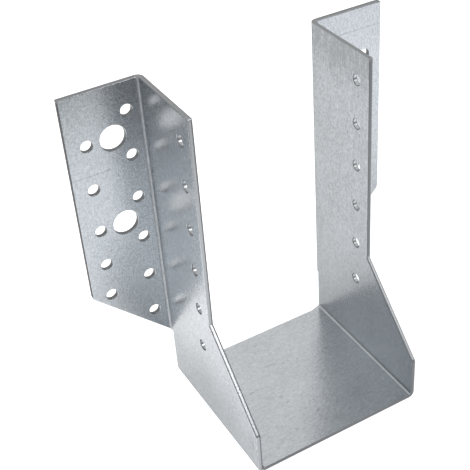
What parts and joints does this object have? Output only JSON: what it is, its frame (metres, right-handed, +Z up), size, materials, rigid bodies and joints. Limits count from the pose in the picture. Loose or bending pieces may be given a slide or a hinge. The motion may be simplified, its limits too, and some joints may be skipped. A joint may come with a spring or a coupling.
{
  "type": "joist hanger",
  "caption": "Face-fixed joist hanger folded from one galvanised steel sheet: a seat, two gusseted cheeks and two outward flanges with nail and bolt holes.",
  "frame": {"origin": "middle of the bounding box's underside, on the underside of the seat", "axes": "+X across the joist to the right seen from the front, +Y towards the header, +Z up"},
  "size_m": [0.146, 0.076, 0.152],
  "materials": {
    "galvanised_sheet": "satin zinc coating with fine rolling grain and light scratches"
  },
  "bodies": {
    "root": {"hanger": "galvanised_sheet"}
  },
  "joints": []
}
